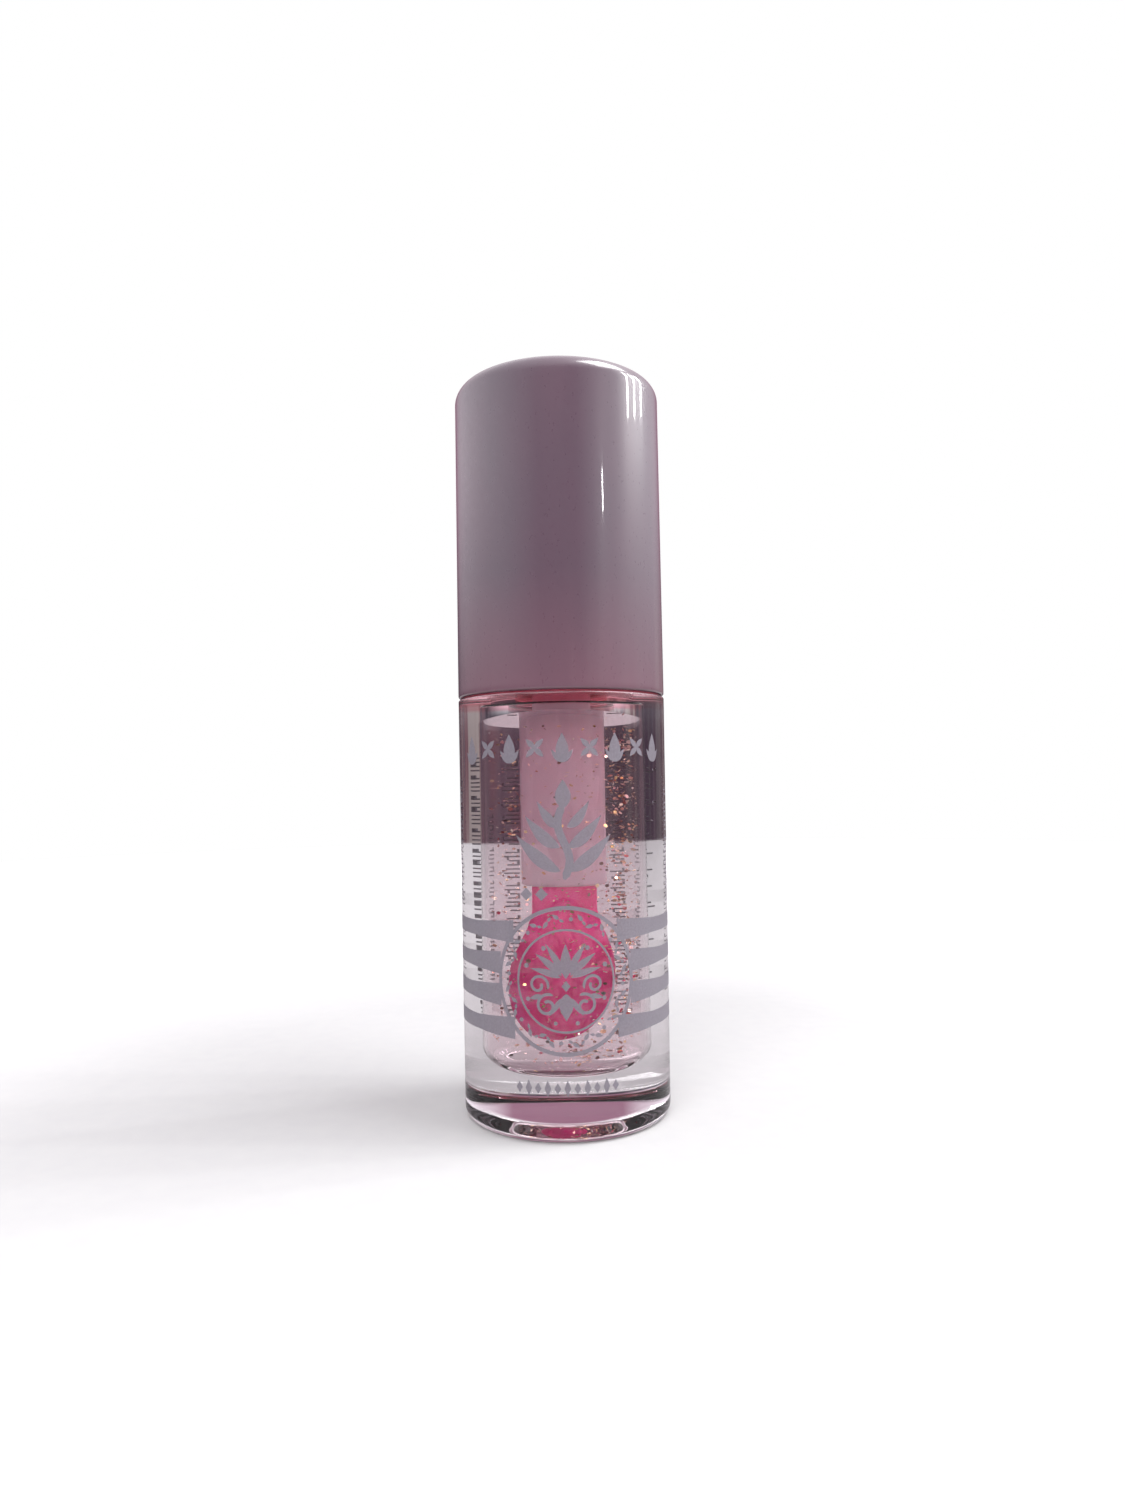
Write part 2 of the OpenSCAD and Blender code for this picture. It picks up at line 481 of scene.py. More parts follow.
@dataclass(frozen=True)
class Flocking(Finish):
    """Dense hot-pink velvet of short fibres, with a faint painted glow."""

    label = "hot_pink_flock"
    slot = Slot.FLOCK
    # Painted light: a faint emission that brightens the head, which is no lamp.
    glow: Colour = srgb(255, 40, 150)
    glow_strength: float = 0.1

    def build(self, graph: Graph) -> None:
        """Fine fibre grain in the colour, over slow lighter and darker patches that are a painted sheen of the
        pile's direction.
        """
        pile = graph.noise(graph.place_mm((1.0, 1.0, 0.7)), 0.45, 2.0)
        fibre = graph.noise(graph.place_mm(), 14.0, 2.0, 0.7)
        # Painted sheen: the slow patches stand in for light caught by the pile's direction; the fine grain is
        # the fibres' own tone.
        shade = (pile * 0.55 + fibre * 0.45).clamped()
        stops = [(0.32, srgb(214, 4, 98)), (0.5, srgb(248, 18, 132)), (0.66, srgb(255, 78, 170))]
        varying = {
            "Base Color": graph.ramp(shade, stops),
            "Roughness": graph.spread(fibre, 0.8, 1.0),
            "Normal": graph.bump(fibre, 0.03),
        }
        constants = {"IOR": 1.3, "Sheen Weight": 0.05, "Sheen Roughness": 0.4,
                     "Sheen Tint": (*srgb(255, 190, 215), 1.0),
                     "Emission Color": (*self.glow, 1.0), "Emission Strength": self.glow_strength}
        graph.surface(constants, varying)


@dataclass(frozen=True)
class FlakeFoil(Finish):
    """Cut metallic film, from pale gold through rose gold to bronze."""

    label = "metallic_flake"
    slot = Slot.FLAKE

    def build(self, graph: Graph) -> None:
        """Each flake takes one tone from its own shade value."""
        shade = graph.node("ShaderNodeAttribute", {"attribute_name": "shade"}, None, "Fac")
        stops = [(0.0, srgb(255, 246, 236)), (0.35, srgb(250, 212, 140)), (0.6, srgb(255, 214, 214)),
                 (0.85, srgb(206, 134, 110)), (1.0, srgb(86, 44, 48))]
        polish = graph.spread(shade, 0.2, 0.38, 0.0, 1.0)
        graph.surface({"Metallic": 1.0}, {"Base Color": graph.ramp(shade, stops), "Roughness": polish})


@dataclass(frozen=True)
class FoamLiner(Finish):
    """Off-white closed-cell foam of the sealing ring."""

    label = "foam_liner"
    slot = Slot.SEAL

    def build(self, graph: Graph) -> None:
        """Small closed cells."""
        inputs = {"Vector": graph.place_mm(), "Scale": 5.0}
        cells = graph.node("ShaderNodeTexVoronoi", None, inputs, "Distance")
        varying = {
            "Base Color": graph.ramp(cells, [(0.0, srgb(214, 209, 202)), (0.6, srgb(240, 237, 231))]),
            "Roughness": graph.spread(cells, 0.7, 0.85, 0.0, 0.6),
            "Normal": graph.bump(cells, 0.03),
        }
        graph.surface({"IOR": 1.4}, varying)


@dataclass(frozen=True)
class PrintInk(Finish):
    """Silver-grey screen print, slightly metallic."""

    label = "silver_print_ink"
    slot = Slot.INK

    def build(self, graph: Graph) -> None:
        """Fine mesh mottle left by the screen."""
        mottle = graph.noise(graph.place_mm(), 7.0, 3.0, 0.6)
        varying = {
            "Base Color": graph.ramp(mottle, [(0.3, srgb(126, 122, 131)), (0.7, srgb(136, 132, 141))]),
            "Roughness": graph.spread(mottle, 0.4, 0.55),
            "Alpha": graph.spread(mottle, 0.7, 0.8),
        }
        graph.surface({"Metallic": 0.2, "IOR": 1.45}, varying)


@dataclass(frozen=True)
class StudioPaper(Finish):
    """White paper under the tube, pure white to the camera but with painted shade near the tube, and a painted
    grey shade through the clear plastic.
    """

    label = "studio_paper"
    shade_full_until_mm: float = 50.0
    shade_gone_at_mm: float = 260.0

    def build(self, graph: Graph) -> None:
        """Even paper with a trace of tooth, with painted shade near the tube that lightens far out, and a
        painted grey shade to rays that pass the tube.
        """
        tooth = graph.noise(graph.place_mm(), 0.5, 3.0)
        reach = graph.node("ShaderNodeVectorMath", {"operation": "LENGTH"}, {0: graph.place_mm()}, "Value")
        # Painted shade: the paper is darker near the tube and lightens far out.
        near = graph.ramp(tooth, [(0.2, srgb(166, 166, 167)), (0.8, srgb(169, 169, 169))])
        far = graph.ramp(tooth, [(0.2, srgb(232, 232, 233)), (0.8, srgb(235, 235, 235))])
        white = graph.mix(graph.rise(reach, self.shade_full_until_mm, self.shade_gone_at_mm), near, far)
        # Painted shade: the grey that rays other than the camera's see, through the clear plastic.
        grey = graph.ramp(tooth, [(0.2, srgb(140, 138, 139)), (0.8, srgb(146, 143, 145))])
        seen = graph.node("ShaderNodeLightPath", output="Is Camera Ray")
        lit = graph.node("ShaderNodeBsdfDiffuse", None, {"Color": white})
        dim = graph.node("ShaderNodeBsdfDiffuse", None, {"Color": grey})
        paper = graph.node("ShaderNodeMixShader", None, {0: seen, 1: dim, 2: lit})
        graph.raw("ShaderNodeOutputMaterial", None, {"Surface": paper})


# --------------------------------------------------------------------------------------------------
# Mesh building


def arc(centre: Point, radius: float, start: float, end: float, steps: int = 8) -> list[Point]:
    """Points along an arc in an outline.

    Args:
        centre: Radius and height of the arc's centre.
        radius: The arc's own radius.
        start: First angle in degrees, 0 pointing away from the axis and 90 up.
        end: Last angle in degrees.
        steps: Pieces the arc is cut into.

    Returns:
        The points, both ends included.
    """
    angles = [math.radians(start + (end - start) * i / steps) for i in range(steps + 1)]
    return [(centre[0] + radius * math.cos(a), centre[1] + radius * math.sin(a)) for a in angles]


def climb(radius: float, low: float, high: float, step: float) -> list[Point]:
    """Evenly spaced points up a straight wall, both ends included."""
    count = max(1, round(abs(high - low) / step))
    return [(radius, low + (high - low) * i / count) for i in range(count + 1)]


def turn_outline(mesh: bmesh.types.BMesh, outline: list[Point], closed: bool = False,
                 segments: int = SEGMENTS) -> None:
    """Spins an outline about Z into a closed skin.

    Args:
        mesh: The mesh that the skin joins.
        outline: Radius and height of each point. An open outline starts and ends on the axis.
        closed: Whether the last point joins the first, as in a ring.
        segments: Steps round the axis.
    """
    verts = [mesh.verts.new((r, 0.0, z)) for r, z in outline]
    pairs = list(zip(verts, verts[1:])) + ([(verts[-1], verts[0])] if closed else [])
    edges = [mesh.edges.new(pair) for pair in pairs]
    bmesh.ops.spin(mesh, geom=verts + edges, cent=(0, 0, 0), axis=(0, 0, 1), dvec=(0, 0, 0), angle=TURN,
                   steps=segments, use_merge=True, use_normal_flip=False, use_duplicate=False)
    bmesh.ops.remove_doubles(mesh, verts=mesh.verts, dist=1e-5)
    bmesh.ops.recalc_face_normals(mesh, faces=mesh.faces)


def add_block(mesh: bmesh.types.BMesh, low: Vector, high: Vector, degrees: float) -> None:
    """Adds a bevelled block, turned about Z.

    Args:
        mesh: The mesh that the block joins.
        low: Its lowest corner before the turn.
        high: Its highest corner before the turn.
        degrees: Turn about Z.
    """
    place = Matrix.Rotation(math.radians(degrees), 4, "Z") @ Matrix.Translation((low + high) / 2)
    size = Matrix.Diagonal((*(high - low), 1.0))
    made = bmesh.ops.create_cube(mesh, size=1.0, matrix=place @ size)["verts"]
    edges = {edge for vert in made for edge in vert.link_edges}
    bmesh.ops.bevel(mesh, geom=list(edges), offset=0.08, offset_type="OFFSET", segments=2, profile=0.5,
                    material=-1, affect="EDGES")


def finish_piece(mesh: bmesh.types.BMesh, name: str, body: Body, finish: Finish,
                 replaces: tuple[str, ...] = (), sharp_degrees: float = 38.0) -> bpy.types.Object:
    """Makes an object of a mesh in millimetres, dresses it and fixes it to its body.

    Args:
        mesh: The mesh, which is used up.
        name: The piece's name.
        body: The body it rides on.
        finish: Its finish.
        replaces: CAD nodes that it stands for.
        sharp_degrees: Edges sharper than this stay crisp.

    Returns:
        The object.
    """
    bmesh.ops.scale(mesh, vec=(MM, MM, MM), verts=mesh.verts)
    data = bpy.data.meshes.new(name)
    mesh.to_mesh(data)
    mesh.free()
    data.shade_smooth()
    data.set_sharp_from_angle(angle=math.radians(sharp_degrees))
    piece = bpy.data.objects.new(name, data)
    bpy.context.collection.objects.link(piece)
    data.materials.append(finish.material())
    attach(piece, body.value)
    if replaces:
        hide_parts(*replaces)
    LOG.info("%s: %d faces on %s", name, len(data.polygons), body.value)
    return piece


@dataclass(frozen=True)
class ThreadRidge:
    """A right-hand thread pressed into a turned wall by moving its points."""

    wall_r: float
    depth: float
    start: float
    lead: float = 3.0
    turns: float = 1.5
    crest_half: float = 0.3
    foot_half: float = 0.52
    fade_turns: float = 0.2

    def height_at(self, angle: float, z: float) -> float:
        """How far the ridge stands out at one place.

        Args:
            angle: Angle round the axis, 0 to a full turn.
            z: Height in millimetres.

        Returns:
            The ridge's height there, 0 off the thread.
        """
        best = 0.0
        for lap in range(math.ceil(self.turns)):
            along = angle / TURN + lap
            if along > self.turns:
                continue
            off = abs(z - self.start - self.lead * along)
            flank = (self.foot_half - off) / (self.foot_half - self.crest_half)
            fade = min(along, self.turns - along) / self.fade_turns
            best = max(best, min(1.0, max(0.0, flank)) * min(1.0, fade))
        return best * abs(self.depth)

    def press(self, mesh: bmesh.types.BMesh) -> None:
        """Moves the wall's points out, or in where the depth is negative."""
        side = 1.0 if self.depth > 0 else -1.0
        for vert in mesh.verts:
            radius = math.hypot(vert.co.x, vert.co.y)
            if abs(radius - self.wall_r) > 1e-3:
                continue
            angle = math.atan2(vert.co.y, vert.co.x) % TURN
            grown = radius + side * self.height_at(angle, vert.co.z)
            vert.co.x *= grown / radius
            vert.co.y *= grown / radius


# --------------------------------------------------------------------------------------------------
# The tube's pieces


@dataclass
class BottleSide:
    """Clear bottle with its neck, the wiper in it, the gloss and its flakes."""

    body_r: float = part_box("bottle")[1][0] / MM
    neck_top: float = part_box("bottle")[1][2] / MM
    floor_z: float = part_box("gloss")[0][2] / MM
    gloss_top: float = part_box("gloss")[1][2] / MM
    wiper_low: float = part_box("wiper")[0][2] / MM
    wiper_top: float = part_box("wiper")[1][2] / MM
    wiper_r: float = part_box("wiper")[1][0] / MM
    body_h: float = 40.0
    crown_z: float = 39.3
    crown_fillet: float = 0.25
    base_fillet: float = 1.0
    shoulder_fillet: float = 0.2
    recess_r: float = 7.0
    recess_depth: float = 0.8
    chamber_r: float = 5.25
    chamber_fillet: float = 1.8
    bore_r: float = 4.5
    neck_r: float = 6.5
    neck_fillet: float = 0.3
    bore_fillet: float = 0.15
    thread_depth: float = 0.65
    thread_low: float = 43.0
    thread_high: float = 47.5
    overlap: float = 0.04
    wiper_bore_r: float = 3.8
    lip_r: float = 2.95
    surface_z: float = 37.85
    surface_tilt: float = 7.2
    flake_count: int = 1500
    flake_small: float = 0.14
    flake_extra: float = 0.28
    flake_t: float = 0.025
    flake_seed: int = 11

    def build(self) -> None:
        """Builds all four pieces."""
        self.build_bottle()
        self.build_wiper()
        self.build_gloss()
        self.build_glitter()

    def build_bottle(self) -> bpy.types.Object:
        """Turns the bottle's whole skin, inside and out, and presses the neck thread into it."""
        r, f, top = self.body_r, self.base_fillet, self.shoulder_fillet
        crown, lip = self.crown_z, self.crown_fillet
        bowl, mouth, rim = self.chamber_fillet, self.neck_fillet, self.bore_fillet
        outline = [
            *self.push_up(),
            *arc((r - f, f), f, 270, 360, 12),
            *climb(r, f + 1, self.body_h - top, 4.0),
            *arc((r - top, self.body_h - top), top, 10, 90, 6),
            *arc((self.neck_r + 0.1, self.body_h + 0.1), 0.1, 270, 180, 3),
            *climb(self.neck_r, self.thread_low - 0.7, self.thread_high + 0.7, 0.09),
            *arc((self.neck_r - mouth, self.neck_top - mouth), mouth, 0, 90, 5),
            *arc((self.bore_r + rim, self.neck_top - rim), rim, 90, 180, 4),
            (self.bore_r, crown),
            *arc((self.chamber_r - lip, crown - lip), lip, 90, 0, 6),
            *climb(self.chamber_r, crown - lip - 1, self.floor_z + bowl + 1, 4.0),
            *arc((self.chamber_r - bowl, self.floor_z + bowl), bowl, 0, -90, 14),
            (0.0, self.floor_z),
        ]
        mesh = bmesh.new()
        turn_outline(mesh, outline)
        ThreadRidge(self.neck_r, self.thread_depth, self.thread_low).press(mesh)
        return finish_piece(mesh, "clear_bottle_body", Body.BOTTLE, ClearPlastic(), ("bottle",))

    def push_up(self, steps: int = 28) -> list[Point]:
        """The hollow under the base, from the axis out to the foot: a low dome with a soft S-shaped edge."""
        inner, outer = self.recess_r - 2.4, self.recess_r + 0.6
        points = []
        for i in range(steps + 1):
            r = outer * i / steps
            share = min(1.0, max(0.0, (r - inner) / (outer - inner)))
            edge = (1 + math.cos(math.pi * share)) / 2
            points.append((r, self.recess_depth * edge * (1 - 0.12 * (r / outer) ** 2)))
        return points

    def build_wiper(self) -> bpy.types.Object:
        """Turns the wiper: rounded flange, sleeve and thin inward lip."""
        sleeve, skin = self.wiper_bore_r, self.bore_r - 0.03
        low, top = self.wiper_low, self.wiper_top
        outline = [
            (skin, low + 0.1),
            *climb(skin, low + 1, self.neck_top - 0.1, 3.0),
            *arc((self.wiper_r - 0.1, self.neck_top + 0.1), 0.1, 270, 360, 3),
            *arc((self.wiper_r - 0.2, top - 0.2), 0.2, 0, 90, 5),
            *arc((sleeve + 0.35, top - 0.35), 0.35, 90, 180, 6),
            *climb(sleeve, top - 1.5, low + 3.4, 3.0),
            *arc((sleeve - 0.6, low + 3.0), 0.6, 0, -40, 4),
            *arc((self.lip_r + 0.12, low + 0.6), 0.12, 90, 260, 6),
            (sleeve - 0.1, low + 1.4),
            *arc((sleeve + 0.15, low + 0.15), 0.15, 180, 270, 4),
            (skin - 0.1, low),
        ]
        mesh = bmesh.new()
        turn_outline(mesh, outline, closed=True, segments=120)
        return finish_piece(mesh, "wiper_plug", Body.BOTTLE, MILKY_PLASTIC, ("wiper",))

    def build_gloss(self) -> bpy.types.Object:
        """Turns the fill. It reaches a hair into the wall so that wall and gloss meet with no air between."""
        r = self.chamber_r + self.overlap
        low, crown = self.floor_z - self.overlap, self.crown_z + self.overlap
        f, lip = self.chamber_fillet, self.crown_fillet
        outline = [
            (0.0, low),
            *arc((r - f, low + f), f, 270, 360, 14),
            *climb(r, low + f + 1, crown - lip - 0.4, 4.0),
            *arc((r - lip, crown - lip), lip, 0, 90, 6),
            (0.0, crown),
        ]
        mesh = bmesh.new()
        turn_outline(mesh, outline)
        self.cut_surface(mesh)
        return finish_piece(mesh, "gloss_fill", Body.BOTTLE, GlossLiquid(), ("gloss",))

    def cut_surface(self, mesh: bmesh.types.BMesh) -> None:
        """Cuts the fill off along its surface. Thick gloss levels slowly, so it still slopes to the back.

        Args:
            mesh: The fill's mesh.
        """
        slope = math.tan(math.radians(self.surface_tilt))
        geometry = mesh.verts[:] + mesh.edges[:] + mesh.faces[:]
        upwards = Vector((0, slope, 1)).normalized()
        cut = bmesh.ops.bisect_plane(mesh, geom=geometry, dist=1e-5, plane_co=(0, 0, self.surface_z),
                                     plane_no=upwards, clear_outer=True)
        rim = [part for part in cut["geom_cut"] if isinstance(part, bmesh.types.BMEdge)]
        bmesh.ops.edgeloop_fill(mesh, edges=rim)
        bmesh.ops.recalc_face_normals(mesh, faces=mesh.faces)

    def flake_place(self, draw: random.Random) -> Vector:
        """Draws a place for one flake, thicker on the right-hand side and clear of the applicator.

        Args:
            draw: The seeded source of chance.

        Returns:
            The place in millimetres.
        """
        z = draw.uniform(self.floor_z + 0.4, self.gloss_top - 1.3)
        angle = draw.gauss(0.15, 1.0) if draw.random() < 0.55 else draw.uniform(0, TURN)
        if z < self.floor_z + 2.6:
            radius = draw.uniform(0.3, self.chamber_r - 1.3)
        else:
            inner = ApplicatorHead().clear_radius(angle, z)
            radius = inner + (self.chamber_r - 0.3 - inner) * draw.random() ** 0.7
        return Vector((radius * math.cos(angle), radius * math.sin(angle), z))

    def build_glitter(self) -> bpy.types.Object:
        """Scatters six-sided flakes through the fill, each with its own tilt, size and tone."""
        draw = random.Random(self.flake_seed)
        mesh = bmesh.new()
        shade = mesh.verts.layers.float.new("shade")
        for _ in range(self.flake_count):
            size = 0.5 * (self.flake_small + self.flake_extra * draw.random() ** 2)
            spin = Matrix.Rotation(draw.uniform(0, TURN), 4, "Z")
            tilt = Matrix.Rotation(draw.uniform(0, math.pi), 4, "X")
            place = Matrix.Translation(self.flake_place(draw)) @ spin @ tilt
            made = bmesh.ops.create_cone(mesh, cap_ends=True, segments=6, radius1=size, radius2=size,
                                         depth=self.flake_t, matrix=place)["verts"]
            tone = draw.random()
            for vert in made:
                vert[shade] = tone
        return finish_piece(mesh, "glitter_flakes", Body.BOTTLE, FlakeFoil(), ("glitter",), 20.0)


@dataclass
class ApplicatorHead:
    """Flocked head: slim throat, full shoulder, and a tip that leans to one side."""

    low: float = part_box("applicator_flock")[0][2] / MM
    top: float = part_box("applicator_flock")[1][2] / MM
    peg_top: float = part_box("applicator_core")[1][2] / MM
    peg_r: float = 1.57
    flock_t: float = 0.5
    throat_r: float = 2.15
    belly_r: float = 3.5
    belly_z: float = 13.4
    throat_z: float = 20.2
    lean: float = 0.75
    lean_from: float = 17.5
    pile: float = 0.05
    bluntness: float = 0.82
    waist_ease: float = 1.25
    steps: int = 60

    def outline(self, margin: float = 0.0) -> list[Point]:
        """Radius and height from tip to throat: a blunt egg that narrows into a straight throat.

        Args:
            margin: How far inside the head's own outline it runs.

        Returns:
            The points, from the axis at the tip up to the top of the throat.
        """
        belly, throat = self.belly_r - margin, self.throat_r - margin
        under, rise = self.belly_z - self.low - margin, self.throat_z - self.belly_z
        bowl, shoulder = [], []
        for i in range(self.steps + 1):
            angle = math.pi / 2 * i / self.steps
            bowl.append((belly * math.sin(angle) ** self.bluntness, self.belly_z - under * math.cos(angle)))
        for i in range(1, self.steps + 1):
            share = i / self.steps
            ease = (share * share * (3 - 2 * share)) ** self.waist_ease
            shoulder.append((belly + (throat - belly) * ease, self.belly_z + rise * share))
        return [*bowl, *shoulder, *climb(throat, self.throat_z + 0.12, self.top, 0.12)]

    def shift_at(self, z: float) -> float:
        """How far the head's middle has moved towards -X at a height."""
        down = max(0.0, self.lean_from - z) / (self.lean_from - self.low)
        return self.lean * down ** 1.2

    def clear_radius(self, angle: float, z: float) -> float:
        """Radius about the tube's axis that clears the stem or head.

        Args:
            angle: Angle round the axis.
            z: Height in millimetres.

        Returns:
            The radius in millimetres.
        """
        if z > self.top:
            return 3.05
        return self.belly_r + 0.25 - self.shift_at(z) * math.cos(angle)

    def build(self) -> None:
        """Builds the flocked head and the core inside it."""
        self.build_head()
        self.build_core()

    def build_core(self) -> bpy.types.Object:
        """Turns the soft core with its peg and leans it like the head."""
        outline = [
            *self.outline(self.flock_t),
            *climb(self.peg_r, self.top, self.peg_top - 0.3, 1.0),
            *arc((self.peg_r - 0.3, self.peg_top - 0.3), 0.3, 0, 90, 4),
            (0.0, self.peg_top),
        ]
        mesh = bmesh.new()
        turn_outline(mesh, outline, segments=96)
        for vert in mesh.verts:
            vert.co.x -= self.shift_at(vert.co.z)
        return finish_piece(mesh, "soft_core", Body.CAP, CORE_RUBBER, ("applicator_core",))

    def build_head(self) -> bpy.types.Object:
        """Turns the head, leans it and roughens it into a pile."""
        mesh = bmesh.new()
        turn_outline(mesh, [*self.outline(), (0.0, self.top)], segments=144)
        mesh.normal_update()
        moves = []
        for vert in mesh.verts:
            fine = noise.noise(vert.co * 7.0) + 0.7 * noise.noise(vert.co * 17.0)
            keep = 0.0 if vert.co.z > self.top - 0.15 else 1.0
            moves.append(vert.normal * self.pile * fine * keep - Vector((self.shift_at(vert.co.z), 0, 0)))
        for vert, move in zip(mesh.verts, moves):
            vert.co += move
        return finish_piece(mesh, "flocked_head", Body.CAP, Flocking(), ("applicator_flock",), 180.0)


@dataclass
class CapSide:
    """Screw cap: shell with ribs, threaded insert, stem and sealing ring."""

    outer_r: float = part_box("cap_shell")[1][0] / MM
    low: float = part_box("cap_shell")[0][2] / MM
    top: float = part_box("cap_shell")[1][2] / MM
    shoulder_z: float = 40.0
    insert_low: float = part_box("inner_cap")[0][2] / MM
    foot_r: float = 9.5
    foot_t: float = 0.5
    insert_top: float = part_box("inner_cap")[1][2] / MM
    seal_low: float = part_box("sealing_ring")[0][2] / MM
    seal_top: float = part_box("sealing_ring")[1][2] / MM
    seal_r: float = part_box("sealing_ring")[1][0] / MM
    stem_low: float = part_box("stem")[0][2] / MM
    stem_top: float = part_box("stem")[1][2] / MM
    flange_r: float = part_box("stem")[1][0] / MM
    draft: float = 0.15
    top_fillet: float = 1.5
    roof: float = 1.7
    bore_r: float = 8.48
    upper_r: float = 8.13
    insert_r: float = 8.45
    insert_bore_r: float = 7.45
    thread_depth: float = -0.65
    thread_low: float = 44.5
    stem_r: float = 2.85
    socket_r: float = 1.6
    socket_depth: float = 5.0
    key_count: int = 8
    rib_count: int = 6

    def build(self) -> None:
        """Builds every piece of the cap."""
        self.build_shell()
        self.build_ribs()
        self.build_insert()
        self.build_stem()
        self.build_seal()

    def build_shell(self) -> bpy.types.Object:
        """Turns the outer shell, inside and out."""
        f = self.top_fillet
        high_r = self.outer_r - self.draft
        ceiling = self.top - self.roof
        rise = self.top - f - 1.2 - self.low
        wall = [(self.outer_r - self.draft * i / 12, self.low + 0.6 + rise * i / 12) for i in range(13)]
        outline = [
            (0.0, self.top),
            (high_r - f - 2.5, self.top),
            *arc((high_r - f, self.top - f), f, 90, 0, 14),
            *reversed(wall),
            *arc((self.outer_r - 0.25, self.low + 0.25), 0.25, 0, -90, 6),
            (self.foot_r + 0.03, self.low),
            (self.foot_r + 0.03, self.insert_low + self.foot_t + 0.03),
            *climb(self.bore_r, self.insert_low + self.foot_t + 0.03, self.insert_top, 4.0),
            (self.upper_r, self.insert_top),
            *climb(self.upper_r, self.insert_top + 1, ceiling - 1.4, 4.0),
            *arc((self.upper_r - 0.8, ceiling - 0.8), 0.8, 0, 90, 6),
            (0.0, ceiling),
        ]
        mesh = bmesh.new()
        turn_outline(mesh, outline, segments=192)
        return finish_piece(mesh, "cap_outer_shell", Body.CAP, CapPlastic(), ("cap_shell",))

    def build_ribs(self) -> bpy.types.Object:
        """Adds the post and the ribs that hold the stem's flange down inside the shell."""
        ceiling = self.top - self.roof
        post_r, hole_r, half = 3.4, 2.3, 0.45
        mesh = bmesh.new()
        ring = [(hole_r, self.stem_top), (post_r, self.stem_top), (post_r, ceiling), (hole_r, ceiling)]
        turn_outline(mesh, ring, closed=True, segments=72)
        low = Vector((post_r - 0.2, -half, self.stem_top))
        high = Vector((self.upper_r + 0.1, half, ceiling - 0.8))
        for i in range(self.rib_count):
            add_block(mesh, low, high, (i + 0.5) * 360 / self.rib_count)
        return finish_piece(mesh, "cap_inner_ribs", Body.CAP, CapPlastic())

    def build_insert(self) -> bpy.types.Object:
        """Turns the screw insert, presses its thread in and adds its keys."""
        hole_r = self.stem_r + 0.03
        outline = [
            *arc((self.foot_r - 0.05, self.shoulder_z + 0.04), 0.05, 270, 360, 3),
            *arc((self.foot_r - 0.1, self.insert_low + self.foot_t - 0.1), 0.1, 0, 90, 3),
            *climb(self.insert_r, self.insert_low + self.foot_t, self.insert_top - 1, 4.0),
            *arc((self.insert_r - 0.1, self.insert_top - 0.1), 0.1, 0, 90, 3),
            (hole_r, self.insert_top),
            (hole_r, self.seal_top),
            (self.insert_bore_r - 0.3, self.seal_top),
            *arc((self.insert_bore_r - 0.3, self.seal_top - 0.3), 0.3, 90, 0, 4),
            *climb(self.insert_bore_r, self.thread_low + 5.2, self.thread_low - 0.7, 0.09),
            *arc((self.insert_bore_r + 0.15, self.shoulder_z + 0.14), 0.15, 180, 270, 4),
        ]
        mesh = bmesh.new()
        turn_outline(mesh, outline, closed=True)
        ThreadRidge(self.insert_bore_r, self.thread_depth, self.thread_low).press(mesh)
        low = Vector((self.insert_r - 0.3, -0.3, self.insert_low + 1))
        high = Vector((self.insert_r + 0.24, 0.3, self.insert_top - 0.2))
        for i in range(self.key_count):
            add_block(mesh, low, high, (i + 0.5) * 360 / self.key_count)
        return finish_piece(mesh, "screw_insert", Body.CAP, ROSE_PLASTIC, ("inner_cap",))

    def build_stem(self) -> bpy.types.Object:
        """Turns the rod with its flange and its socket."""
        r, hole = self.stem_r, 1.3
        socket_top = self.stem_low + self.socket_depth
        outline = [
            (0.0, socket_top),
            (self.socket_r, socket_top),
            (self.socket_r, self.stem_low + 0.2),
            *arc((self.socket_r + 0.15, self.stem_low + 0.15), 0.15, 180, 270, 3),
            *arc((r - 0.3, self.stem_low + 0.3), 0.3, 270, 360, 6),
            *climb(r, self.stem_low + 1, self.insert_top, 3.0),
            *arc((self.flange_r - 0.1, self.insert_top + 0.1), 0.1, 270, 360, 3),
            *arc((self.flange_r - 0.2, self.stem_top - 0.2), 0.2, 0, 90, 4),
            (hole, self.stem_top),
            (hole, socket_top + 2),
            (0.0, socket_top + 2),
        ]
        mesh = bmesh.new()
        turn_outline(mesh, outline, segments=120)
        return finish_piece(mesh, "applicator_stem", Body.CAP, StemPlastic(), ("stem",))

    def build_seal(self) -> bpy.types.Object:
        """Turns the sealing ring."""
        low, high, inner = self.seal_low, self.seal_top, 3.6
        outline = [
            *arc((self.seal_r - 0.15, low + 0.15), 0.15, 270, 360, 4),
            *arc((self.seal_r - 0.15, high - 0.15), 0.15, 0, 90, 4),
            *arc((inner + 0.08, high - 0.08), 0.08, 90, 180, 3),
            *arc((inner + 0.08, low + 0.08), 0.08, 180, 270, 3),
        ]
        mesh = bmesh.new()
        turn_outline(mesh, outline, closed=True, segments=96)
        return finish_piece(mesh, "foam_sealing_ring", Body.SEAL, FoamLiner(), ("sealing_ring",))


# --------------------------------------------------------------------------------------------------
# Print


